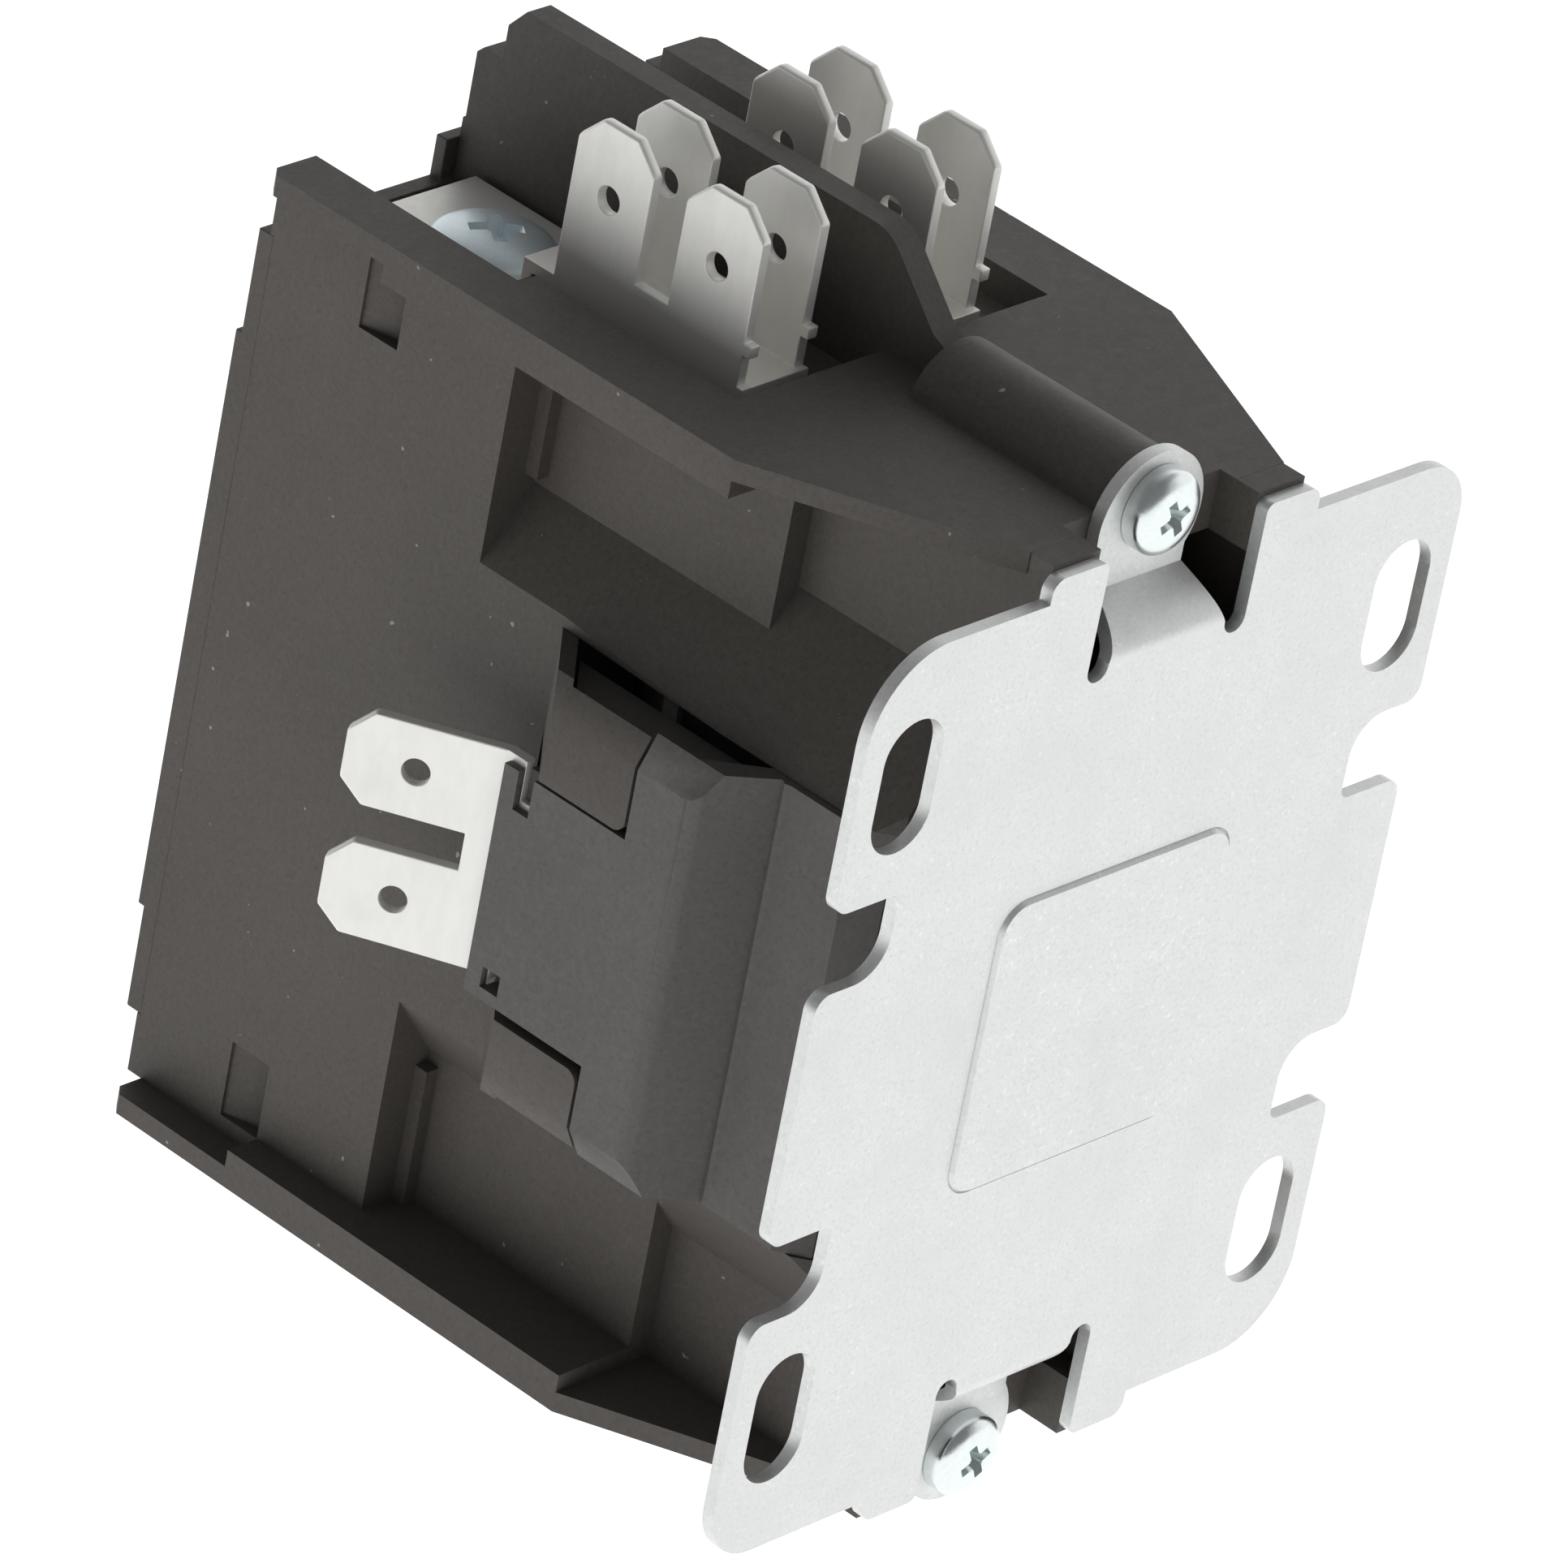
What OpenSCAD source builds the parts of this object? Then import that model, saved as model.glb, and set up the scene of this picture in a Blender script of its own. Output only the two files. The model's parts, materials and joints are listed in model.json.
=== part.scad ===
// Two-pole definite-purpose contactor (control relay).
// Frame: the back face of the mounting plate is the plane y = 0, and the case stands out from it
// towards -Y. +Z points to the line terminals, +X to the right-hand coil terminal.
// The origin is the centre of the mounting plate.

/* [Mounting plate] */
// Width of the plate
plate_w = 51.5; // [51.5:0.5:53]
// Height of the plate without its ears and tongues
plate_h = 62.4; // [62:0.2:63]
// Thickness of the sheet
plate_t = 0.9; // [0.8:0.1:1.2]
// Distance between the two columns of slots
slot_pitch_x = 42.9; // [42:0.1:43.4]
// Distance between the two rows of slots
slot_pitch_z = 43.7; // [43:0.1:44.4]
// Width of each slot
slot_w = 5; // [4.6:0.1:5.4]
// Length of each slot, end to end
slot_l = 9; // [8:0.1:9.4]

/* [Housing] */
// Half the width over the plain side walls
wall_x = 16.5; // [16.3:0.1:17]
// Half the width over the top and bottom flanges
flange_x = 19; // [18.6:0.1:19.4]
// Half the height over the flanges
body_z = 33.2; // [33:0.1:33.4]
// Depth from the back of the plate to the front edge of the housing
body_d = 60; // [59.8:0.1:60.4]
// Thickness of the side walls
wall_t = 1.6; // [1.4:0.1:1.8]
// Height of the divider between the poles, from the centre
divider_z = 40.7; // [39:0.1:41.5]

/* [Terminals] */
// Distance from the centre to the middle of each pole
pole_x = 7.5; // [7.4:0.05:7.6]
// Width of a quick-connect blade
tab_w = 6.35; // [6.3:0.05:6.4]
// Thickness of a quick-connect blade
tab_t = 0.8; // [0.75:0.05:0.8]
// Height of the quick-connect tips from the centre
tab_tip_z = 43.1; // [42:0.1:44]
// Radius of a terminal screw's head
screw_head_r = 4; // [3.6:0.1:4.2]

/* [Coil and magnet] */
// Half the width over the coil's side blocks
coil_x = 21.5; // [21.4:0.1:21.6]
// Half the height of the coil's side blocks
coil_z = 14.7; // [14.4:0.1:14.7]
// Angle that the coil blades are bent outwards
coil_tab_angle = 30; // [20:1:35]
// Half the thickness of the lamination stack
stack_x = 8; // [7.6:0.1:8]
// Half the height of the magnet core
core_z = 20; // [19.6:0.1:20.2]

/* [Motion] */
// Travel of the armature and the contact carrier
stroke = 4.5; // [4:0.1:4.5]
// Air gap between the open contacts
contact_gap = 3; // [2.6:0.1:3]

/* [Hidden] */
$fn = 48;
eps = 0.01;
big = 100;

// Colours
plastic = [0.2, 0.19, 0.18];
bobbin_grey = [0.27, 0.27, 0.28];
zinc = [0.78, 0.8, 0.82];
tinned = [0.85, 0.84, 0.8];
copper = [0.75, 0.45, 0.28];
silver = [0.83, 0.83, 0.84];
steel = [0.5, 0.52, 0.55];
rubber = [0.12, 0.12, 0.12];
wire_red = [0.55, 0.22, 0.1];

// Mounting plate
big_corner_r = 5.8;
small_corner_r = 4;
notch_depth = 5.6;
notch_h = 5.5;
notch_a_z = 8.75;    // lower end of the notch near the line end, on the +X side
notch_b_z = -14.15;  // lower end of the other notch on the +X side
notch_small_r = 0.7;
notch_big_r = 2.6;
notch_lip_r = 1.2;      // the plate's own corners beside a notch
ear_in = 6.9;
ear_out = 11.7;
ear_z = 32.8;
relief_in = 5.1;
relief_z = 24.4;
tongue_neck = 3.7;
tongue_end_r = 4.5;
tongue_end_z = 32.2;    // centre of the tongue's round end
tongue_screw_z = 33.1;
tongue_drop = 3.1;      // how far the tongue's end steps forward of the plate's back
tongue_bend_z0 = 25.4;
tongue_bend_z1 = 28.4;
tongue_hole_r = 2;
plate_screw_r = 2.75;   // radius of the head
pad_half = 10.1;
pad_h = 0.25;
pad_slope = 0.15;
pad_groove = 0.15;      // width and depth of the groove round the pad's foot

// Housing
front_y = -body_d;
cover_seat_y = -59.7;
flange_front_y = -58.8;
lip_step_y = -48.5;
recess_front_y = -39.1;
mid_end_y = -31.8;
corner_y = -19.2;
lip_thin_z = 31.8;
lip_thick_z = 30.6;
floor1_x = 12.9;
floor2_x = 11;
shelf_z = 14.95;
shelf_rear_x = 17.3;
shelf_rise = 1.28;      // how fast the sloping shelf climbs towards the middle, dz / dx
shelf_end_y = -3.8;
flange_end_x = 11.1;
flange_gap = 1.8;       // between the flange's rear end and the plate
cover_z = 27.6;
chamber_z = 24.9;
chamber_x = wall_x - wall_t;
well_z = 26.5;
well_x = 15;
well_back_y = -44.3;
pocket_x = 13.5;
pocket_step_y = -41.3;
pocket_end_y = -24.4;
pocket_z = 30.9;
partition_y = -39.4;
magnet_x = 9;
magnet_z = 21.4;
latch_y0 = -51.8;
latch_y1 = -48.5;
boss_r = 4;
boss_front_y = -19.5;
boss_end_y = -tongue_drop - plate_t - 0.05;
side_open_z = 14.75;
finger_t = 1;
finger_end_y = -20.2;
finger_turn_y = -27.3;
finger_low_z = -8.8;
finger_high_z = 7.9;

// Coil side block and its terminal
block_low_z = -8.1;
block_high_z = 7.7;
block_front_y = -30.1;
end_bevel_x = 1.2;      // bevel on the outer end edges of the block and the fingers beside it
end_bevel_z = 2.2;
end_wall_z = 12.2;      // near face of the walls that close the block's ends
end_wall_t = 1;
coil_tab_z = 4.45;      // from the terminal's middle to the middle of each blade
coil_tab_mid = 0.55;    // height of the terminal's middle
coil_tab_l = 9.95;
coil_tab_bend_y = -30.6;
coil_tail_x = 20.1;     // inner face of the terminal's flat part
lead_y = -19.1;
lead_z = 3;

// Terminals
bar_t = 1.6;
foot_z = well_z + bar_t;      // top of a contact bar, where the quick-connect foot lies
tab_a_y = -39.52;
tab_b_y = -30.4;
tab_root_z = 34.2;
bracket_lift = 2.9;     // height of the double bracket's floor over its foot
bracket_half = 2.9;     // half its width
screw_y = -50.2;
terminal_front_y = -57.8;
bar_back_y = -44.4;
bar_half_w = 4;
tip_z = 13.5;
tip_r = 3;
tip_t = 1.2;
fixed_face_y = bar_back_y - bar_t - tip_t;

// Moving contacts
contact_play = 0.05;
moving_face_y = fixed_face_y - contact_play - contact_gap;
moving_tip_t = 1.15;
bridge_back_y = moving_face_y - moving_tip_t;
bridge_front_y = bridge_back_y - bar_t;
carrier_bar_y = bridge_front_y - 4.5;
carrier_front_y = carrier_bar_y - 1.6;

// Magnet
core_back_y = -2.65;
yoke_t = 6;
pole_y = -24;
centre_leg_z = 4.6;
outer_leg_z = 15.5;
armature_back_y = pole_y - stroke - 0.05;
armature_front_y = -35.6;
pin_y = -32.2;
pin_r = 1.5;
pin_x = 10.2;
rivet_r = 1.2;
bobbin_front_y = -23.2;
bobbin_back_y = -9;
flange_z = 14.4;
spring_x = 12.4;
winding_x = 15.75;
winding_z = 13.9;

// A box between two opposite corners.
module box(a, b) {
    translate([min(a.x, b.x), min(a.y, b.y), min(a.z, b.z)])
        cube([abs(b.x - a.x), abs(b.y - a.y), abs(b.z - a.z)]);
}

// Both a shape and its mirror image across the plane x = 0.
module both_x() {
    children();
    mirror([1, 0, 0]) children();
}

// Both a shape and its mirror image across the plane z = 0.
module both_z() {
    children();
    mirror([0, 0, 1]) children();
}

// An outline drawn in x and z, given a thickness t from y = y0 towards -Y.
module sheet_xz(y0, t) {
    translate([0, y0, 0]) rotate([90, 0, 0]) linear_extrude(t) children();
}

// An outline drawn in y and z, extruded from x = x0 to x = x1.
module sheet_yz(x0, x1) {
    translate([x0, 0, 0]) rotate([90, 0, 90]) linear_extrude(x1 - x0) children();
}

// The waste outside a rounded corner. The corner is at p, and d points out of the sheet.
module corner_waste(p, d, r) {
    translate(p) mirror([d.x < 0 ? 1 : 0, 0]) mirror([0, d.y < 0 ? 1 : 0])
        difference() {
            translate([-r, -r]) square(r + 1);
            translate([-r, -r]) circle(r);
        }
}

// A rectangle with all four corners rounded by r, from its lowest to its highest corner.
module round_rect(a, b, r) {
    difference() {
        translate(a) square([b.x - a.x, b.y - a.y]);
        corner_waste(b, [1, 1], r);
        corner_waste(a, [-1, -1], r);
        corner_waste([a.x, b.y], [-1, 1], r);
        corner_waste([b.x, a.y], [1, -1], r);
    }
}

// An obround along the second axis.
module obround(w, l) {
    square([w, l - w], center = true);
    for (s = [-1, 1]) translate([0, s * (l - w) / 2]) circle(w / 2);
}

// A notch in the +X edge: square at its top, well rounded at its inner bottom corner.
module edge_notch(z0) {
    inner = plate_w / 2 - notch_depth;
    difference() {
        translate([inner, z0]) square([notch_depth + 2, notch_h]);
        corner_waste([inner, z0 + notch_h], [-1, 1], notch_small_r);
        corner_waste([inner, z0], [-1, -1], notch_big_r);
    }
    corner_waste([plate_w / 2, z0], [1, 1], notch_lip_r);
    corner_waste([plate_w / 2, z0 + notch_h], [1, -1], notch_lip_r);
}

module plate_outline() {
    x = plate_w / 2;
    z = plate_h / 2;
    difference() {
        union() {
            translate([-x, -z]) square([plate_w, plate_h]);
            for (s = [-1, 1]) for (t = [-1, 1])
                mirror([s < 0 ? 1 : 0, 0]) mirror([0, t < 0 ? 1 : 0])
                    difference() {
                        translate([ear_in, 0]) square([ear_out - ear_in, ear_z]);
                        corner_waste([ear_out, ear_z], [1, 1], 1);
                        corner_waste([ear_in, ear_z], [-1, 1], 0.6);
                    }
        }
        for (a = [0, 180]) rotate(a) {
            corner_waste([x, z], [1, 1], big_corner_r);
            corner_waste([x, -z], [1, -1], small_corner_r);
            edge_notch(notch_a_z);
            edge_notch(notch_b_z);
        }
        for (s = [-1, 1]) for (t = [-1, 1])
            translate([s * slot_pitch_x / 2, t * slot_pitch_z / 2]) obround(slot_w, slot_l);
        // Relief slots beside the tongues, and the gaps above them
        for (t = [-1, 1]) {
            relief_w = ear_in - relief_in;
            for (s = [-1, 1])
                translate([s * (relief_in + ear_in) / 2, t * (relief_z + relief_w / 2)]) {
                    circle(relief_w / 2);
                    translate([-relief_w / 2, t > 0 ? 0 : -big]) square([relief_w, big]);
                }
            translate([-ear_in, t > 0 ? tongue_bend_z0 : -big - tongue_bend_z0])
                square([2 * ear_in, big]);
        }
    }
}

// Width outline of a tongue: tapered through the bend, then a neck with a round end.
module tongue_outline() {
    difference() {
        union() {
            polygon([[-relief_in, tongue_bend_z0 - eps], [relief_in, tongue_bend_z0 - eps],
                     [tongue_neck, tongue_bend_z1], [tongue_neck, tongue_end_z],
                     [-tongue_neck, tongue_end_z], [-tongue_neck, tongue_bend_z1]]);
            translate([0, tongue_end_z]) circle(tongue_end_r);
        }
        translate([0, tongue_screw_z]) circle(tongue_hole_r);
    }
}

// Side profile of a tongue: it curves forward and ends flat.
module tongue_profile() {
    n = 10;
    tip_z = tongue_end_z + tongue_end_r + 1;
    span = tongue_bend_z1 - tongue_bend_z0;
    function bend_y(i) = -tongue_drop * (1 - cos(90 * i / n));
    function bend_z(i) = tongue_bend_z0 + span * i / n;
    function slope(i) = tongue_drop * PI / 2 / span * sin(90 * i / n);
    polygon(concat(
        [for (i = [0:n]) [bend_y(i), bend_z(i)]],
        [[-tongue_drop, tip_z], [-tongue_drop - plate_t, tip_z],
         [-tongue_drop - plate_t, tongue_bend_z1 - 0.25]],
        [for (i = [n - 1:-1:0])
            [max(-tongue_drop - plate_t, bend_y(i) - plate_t * sqrt(1 + pow(slope(i), 2))), bend_z(i)]]));
}

// The pad's outline at the plate's back face, grown by d.
module pad_outline(d) {
    half = pad_half + d;
    round_rect([-half, -half], [half, half], 2 + d, $fn = 24);
}

module mounting_plate() {
    color(zinc) union() {
        difference() {
            sheet_xz(0, plate_t) plate_outline();
            sheet_xz(1, 1 + pad_groove) pad_outline(pad_groove);
        }
        both_z() intersection() {
            sheet_xz(0, tongue_drop + plate_t + 1) tongue_outline();
            sheet_yz(-8, 8) tongue_profile();
        }
        // Shallow square pad, coined outwards with sloping edges
        hull() {
            sheet_xz(pad_h, pad_h) pad_outline(-pad_slope);
            sheet_xz(-plate_t / 2 + 0.1, 0.1) pad_outline(pad_slope * (plate_t / 2 - 0.1) / pad_h);
        }
    }
}

// A pan-head cross-recess screw. The head's underside is at z = 0 and the shank runs to -Z.
module pan_screw(head_r, head_h, shank_r, length) {
    difference() {
        union() {
            rotate_extrude() polygon(concat(
                [[0, 0], [head_r, 0], [head_r, head_h * 0.45]],
                [for (a = [10:10:90]) [head_r * cos(a), head_h * (0.45 + 0.55 * sin(a))]]));
            translate([0, 0, -length]) cylinder(r = shank_r, h = length + head_h * 0.1);
            translate([0, 0, -length - shank_r * 0.6])
                cylinder(r1 = shank_r * 0.4, r2 = shank_r, h = shank_r * 0.6);
        }
        for (a = [0, 90]) rotate(a)
            translate([-head_r * 0.5, -head_r * 0.11, head_h * 0.35]) cube([head_r, head_r * 0.22, head_h]);
        translate([0, 0, head_h * 0.2]) cylinder(r1 = head_r * 0.12, r2 = head_r * 0.3, h = head_h);
    }
}

module plate_screws() {
    color(zinc) both_z() translate([0, -tongue_drop, tongue_screw_z]) rotate([-90, 25, 0])
        pan_screw(plate_screw_r, 1.9, 1.75, 11);
}

// Divider outline in y and z: stepped at its front, sloping down behind the terminals.
module divider_outline() {
    polygon(concat(
        [[-59.5, chamber_z + 0.5], [-59.5, cover_z + 0.1], [-59.8, cover_z + 0.1], [-59.8, 36.4],
         [-59.3, 36.9], [-57.7, 36.9], [-57.7, divider_z - 1.5], [-56.4, divider_z]],
        [for (a = [0:15:45]) [-26.8 + 3 * sin(a), divider_z - 3 + 3 * cos(a)]],
        [[-20.9, 36], [boss_front_y, 35.4], [boss_front_y + 1, body_z - 1], [-40, body_z - 5]]));
}

// The flange that closes the case above and below, out to z = body_z.
module flange() {
    cut = 0.7;
    translate([0, 0, lip_thin_z]) linear_extrude(body_z - lip_thin_z)
        polygon([[-flange_x, flange_front_y + cut], [-flange_x + cut, flange_front_y],
                 [flange_x - cut, flange_front_y], [flange_x, flange_front_y + cut],
                 [flange_x, corner_y], [flange_end_x, -plate_t - flange_gap],
                 [-flange_end_x, -plate_t - flange_gap], [-flange_x, corner_y]]);
    box([-flange_x, lip_step_y, lip_thick_z], [flange_x, corner_y, lip_thin_z + eps]);
}

// Hollows of one end: two terminal wells and the pockets behind them.
module terminal_hollows() {
    both_x() {
        box([1, front_y - 1, well_z], [well_x, well_back_y, 60]);
        box([1, well_back_y - eps, pocket_z], [well_x, pocket_step_y, 60]);
        box([1, pocket_step_y - eps, pocket_z], [pocket_x, pocket_end_y, 60]);
        // Slot where the contact bar passes down into the arc chamber
        box([pole_x - bar_half_w - 0.1, bar_back_y - bar_t - 0.1, chamber_z - 1],
            [pole_x + bar_half_w + 0.1, well_back_y, well_z + 1]);
        translate([pole_x, screw_y, chamber_z - 1]) cylinder(r = 2.4, h = 4);
        // Core-out behind the arc chamber
        box([1.6, -38, magnet_z + 1.5], [magnet_x, 1, 29.2]);
    }
}

// Ramped pocket in the side wall, at the +X side, between z0 and z1.
module latch_pocket(z0, z1) {
    translate([0, 0, z0]) linear_extrude(z1 - z0)
        polygon([[wall_x + 1, latch_y0], [wall_x - 0.25, latch_y0],
                 [wall_x - 1.2, latch_y1], [wall_x + 1, latch_y1]]);
}

// Everything inside the bevelled ends of the side blocks, seen along Y.
module inside_end_bevels() {
    x0 = coil_x - end_bevel_x;
    x1 = coil_x + eps;
    z0 = coil_z - end_bevel_z;
    z1 = coil_z + eps;
    sheet_xz(5, 60) polygon([[x0, z1], [x1, z0], [x1, -z0], [x0, -z1],
                             [-x0, -z1], [-x1, -z0], [-x1, z0], [-x0, z1]]);
}

// A side finger that steps out beside the coil block. Its free end is rounded at one corner.
module side_finger(z0, z1, round_top) {
    r = 0.9;
    slant = finger_t * 0.45;
    root_y = mid_end_y - 1.2;
    intersection() {
        translate([0, 0, -big / 2]) linear_extrude(big)
            polygon([[wall_x - finger_t, root_y], [wall_x, root_y], [wall_x, mid_end_y],
                     [coil_x, finger_turn_y], [coil_x, finger_end_y], [coil_x - finger_t, finger_end_y],
                     [coil_x - finger_t, finger_turn_y + slant], [wall_x - finger_t, mid_end_y + slant]]);
        sheet_yz(0, 30) difference() {
            translate([-40, z0]) square([finger_end_y + 40, z1 - z0]);
            if (round_top) corner_waste([finger_end_y, z1], [1, 1], r);
            else corner_waste([finger_end_y, z0], [1, -1], r);
        }
        inside_end_bevels();
    }
}

// Side wall round the coil: it slopes inwards above and below, down to the recess floors.
module coil_shelf() {
    rear_turn_y = -12;
    intersection() {
        translate([0, 0, -30]) linear_extrude(60)
            polygon([[8, recess_front_y - 1], [wall_x, recess_front_y - 1], [wall_x, mid_end_y],
                     [shelf_rear_x, rear_turn_y], [shelf_rear_x, shelf_end_y - 1.6],
                     [shelf_rear_x - 1.4, shelf_end_y], [8, shelf_end_y]]);
        sheet_xz(1, 60)
            polygon([[8, -shelf_top(8)], [shelf_rear_x + 1, -shelf_top(shelf_rear_x + 1)],
                     [shelf_rear_x + 1, shelf_top(shelf_rear_x + 1)], [8, shelf_top(8)]]);
    }
}

// Height of the sloping shelf at a distance x from the middle.
function shelf_top(x) = shelf_z + (wall_x + 0.4 - x) * shelf_rise;

module housing() {
    color(plastic) union() {
        difference() {
            union() {
                box([-wall_x, cover_seat_y, -lip_thin_z], [wall_x, recess_front_y, lip_thin_z]);
                both_z() box([-wall_x, front_y, cover_z], [wall_x, cover_seat_y + 1, lip_thin_z]);
                both_x() coil_shelf();
                box([-floor1_x, recess_front_y - 1, -body_z + eps], [floor1_x, corner_y, body_z - eps]);
                box([-floor2_x, corner_y - 1, -body_z + eps], [floor2_x, -plate_t, body_z - eps]);
                both_z() flange();
                both_z() sheet_xz(boss_end_y, boss_end_y - boss_front_y)
                    translate([0, tongue_end_z]) circle(boss_r);
                // Small ribs at the front of the side recesses
                both_x() both_z() box([floor1_x - 0.5, recess_front_y - 0.5, 20.9],
                                      [floor1_x + 1, recess_front_y + 1, lip_thick_z + 0.5]);
            }
            both_z() terminal_hollows();
            // Arc chamber, open at the front
            box([-chamber_x, front_y - 1, -chamber_z], [chamber_x, well_back_y, chamber_z]);
            // Guide for the carrier's stem
            box([-6.3, -50, -7.3], [6.3, -38, 7.3]);
            // Magnet space, open towards the plate
            box([-magnet_x, partition_y, -magnet_z], [magnet_x, 1, magnet_z]);
            box([-chamber_x, partition_y, -6], [chamber_x, mid_end_y + 1, 6]);
            // Side openings for the coil
            box([-30, mid_end_y, -side_open_z], [30, 1, side_open_z]);
            // Clearance behind the tongues
            both_z() box([-ear_in, boss_end_y, relief_z - 0.3], [ear_in, 1, 60]);
            both_z() translate([0, -16, tongue_screw_z]) rotate([-90, 0, 0]) cylinder(r = 1.8, h = 20);
            both_x() both_z() latch_pocket(25.3, lip_thick_z);
        }
        both_z() sheet_yz(-1, 1) divider_outline();
        both_z() box([-1, cover_seat_y + 0.2, 9.6], [1, well_back_y + eps, chamber_z + eps]);
        both_x() {
            side_finger(finger_high_z, coil_z, false);
            side_finger(-coil_z, finger_low_z, true);
        }
    }
}

module front_cover() {
    seat = cover_seat_y;
    color(plastic) difference() {
        union() {
            box([-wall_x, seat - 1.3, -cover_z], [wall_x, seat, cover_z]);
            box([-wall_x, seat - 1.8, -20.4], [wall_x, seat - 1, 20.4]);
            // Locating rim inside the arc chamber, split for the chamber's middle walls
            difference() {
                box([-chamber_x + 0.1, seat - eps, -chamber_z + 0.1],
                    [chamber_x - 0.1, seat + 1.4, chamber_z - 0.1]);
                box([-chamber_x + 1.5, seat - 1, -chamber_z + 1.5],
                    [chamber_x - 1.5, seat + 2, chamber_z - 1.5]);
                box([-1.3, seat, -30], [1.3, seat + 2, 30]);
            }
            both_z() box([-2, seat - 1.3, cover_z - 1], [2, -60.05, 30.4]);
        }
        // Window for the carrier's nose
        box([-3, seat - 3, -5], [3, seat + 2, 5]);
        // Shallow field for a rating label
        box([-13, seat - 3, 8.5], [13, seat - 1.6, 18.5]);
    }
}

// Right-hand side wall of the coil block, seen along Z: a flat, a slant inwards and a rear flat.
module coil_flank_outline() {
    skin = 1.2;
    polygon(concat(
        [[coil_x, finger_end_y + 0.25]],
        [for (a = [0:10:40]) [coil_x - 2 + 2 * cos(a), -16.2 + 2 * sin(a)]],
        [[17.5, -12.3], [17.75, -11.9], [17.6, -11.6], [17.6, -6.2], [16.1, -4.2], [14.4, -4.2],
         [14.4, -4.2 - skin], [15.6, -4.2 - skin], [16.4, -6.6], [16.4, -12.9],
         [coil_x - skin, -16.6], [coil_x - skin, finger_end_y + 0.25]]));
}

// Wall that closes one end of the right-hand side block, behind its skin and clear of the finger.
module coil_end_wall() {
    near_x = 16.3;
    finger_clear_x = coil_x - finger_t - 0.3;
    front_y = finger_turn_y + 0.6;
    translate([0, 0, end_wall_z]) linear_extrude(end_wall_t)
        polygon([[near_x, front_y - 3.5], [finger_clear_x, front_y],
                 [finger_clear_x, finger_end_y + 0.3], [coil_x - 1, finger_end_y + 0.3],
                 [coil_x - 1, -16.6], [near_x + 0.3, -12.6], [near_x, -12.6]]);
}

module coil_bobbin() {
    tube_x = stack_x + 0.2;
    tube_z = centre_leg_z + 0.2;
    color(bobbin_grey) difference() {
        union() {
            box([-tube_x - 1.3, bobbin_front_y, -tube_z - 1.3],
                [tube_x + 1.3, bobbin_back_y, tube_z + 1.3]);
            box([-16.4, bobbin_front_y, -flange_z], [16.4, bobbin_front_y + 1.2, flange_z]);
            box([-17, bobbin_back_y - 1.2, -flange_z], [17, bobbin_back_y, flange_z]);
            both_x() {
                intersection() {
                    translate([0, 0, -coil_z]) linear_extrude(2 * coil_z) coil_flank_outline();
                    inside_end_bevels();
                }
                both_z() coil_end_wall();
                box([18.9, block_front_y, block_low_z], [coil_x, finger_end_y + 0.5, block_high_z]);
                box([16, bobbin_front_y, block_low_z], [19, bobbin_front_y + 1.2, block_high_z]);
            }
        }
        box([-tube_x, -40, -tube_z], [tube_x, 0, tube_z]);
        both_x() {
            // Seat for the terminal: a slot for its tail and a relief behind the outer skin
            box([19.9, -40, -5.6], [20.95, -18.2, 5.6]);
            box([18, -40, -20], [20.95, -28.8, 20]);
            // Small slot and square hole beside the terminal
            box([20.5, -28.9, 5.1], [30, -27.6, 20]);
            box([20.3, -28.9, -7.3], [30, -27.4, -5.9]);
        }
    }
}

module coil_winding() {
    color(copper) difference() {
        box([-winding_x, -21.9, -winding_z], [winding_x, -10.3, winding_z]);
        box([-9.55, -30, -6.15], [9.55, 0, 6.15]);
    }
}

// Tape wound over the coil, with a gap where the leads come out
module coil_wrap() {
    color([0.09, 0.09, 0.1]) difference() {
        box([-winding_x - 0.25, -21.8, -winding_z - 0.25], [winding_x + 0.25, -10.4, winding_z + 0.25]);
        box([-winding_x, -30, -winding_z], [winding_x, 0, winding_z]);
        translate([-30, lead_y, lead_z]) rotate([0, 90, 0]) cylinder(r = 0.4, h = 60);
    }
}

module coil_leads() {
    color(wire_red) both_x() translate([winding_x, lead_y, lead_z]) rotate([0, 90, 0])
        cylinder(r = 0.3, h = coil_tail_x - winding_x);
}

// One quick-connect blade: rectangle with two chamfered tip corners and a hole. It points along -x2.
module blade_outline(w, l, hole_at, cut) {
    difference() {
        polygon([[0, -w / 2], [-l + cut, -w / 2], [-l, -w / 2 + cut],
                 [-l, w / 2 - cut], [-l + cut, w / 2], [0, w / 2]]);
        translate([-hole_at, 0]) circle(0.9);
    }
}

module coil_terminal() {
    half = coil_tab_z + tab_w / 2;
    color(tinned) union() {
        box([coil_tail_x, coil_tab_bend_y, coil_tab_mid - half],
            [coil_tail_x + tab_t, -28.9, coil_tab_mid + half]);
        box([coil_tail_x, -29, -5.5], [coil_tail_x + tab_t, -18.5, 5.5]);
        translate([coil_tail_x + tab_t / 2, coil_tab_bend_y, coil_tab_mid]) rotate([0, 0, coil_tab_angle]) {
            sheet_yz(-tab_t / 2, tab_t / 2) {
                translate([-1.8, -half]) square([1.8, 2 * half]);
                for (s = [-1, 1]) translate([0, s * coil_tab_z]) blade_outline(tab_w, coil_tab_l, 5.4, 1.5);
            }
            cylinder(r = tab_t / 2, h = 2 * half, center = true);
        }
    }
}

module coil_terminal_right() coil_terminal();
module coil_terminal_left() mirror([1, 0, 0]) coil_terminal();

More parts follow.
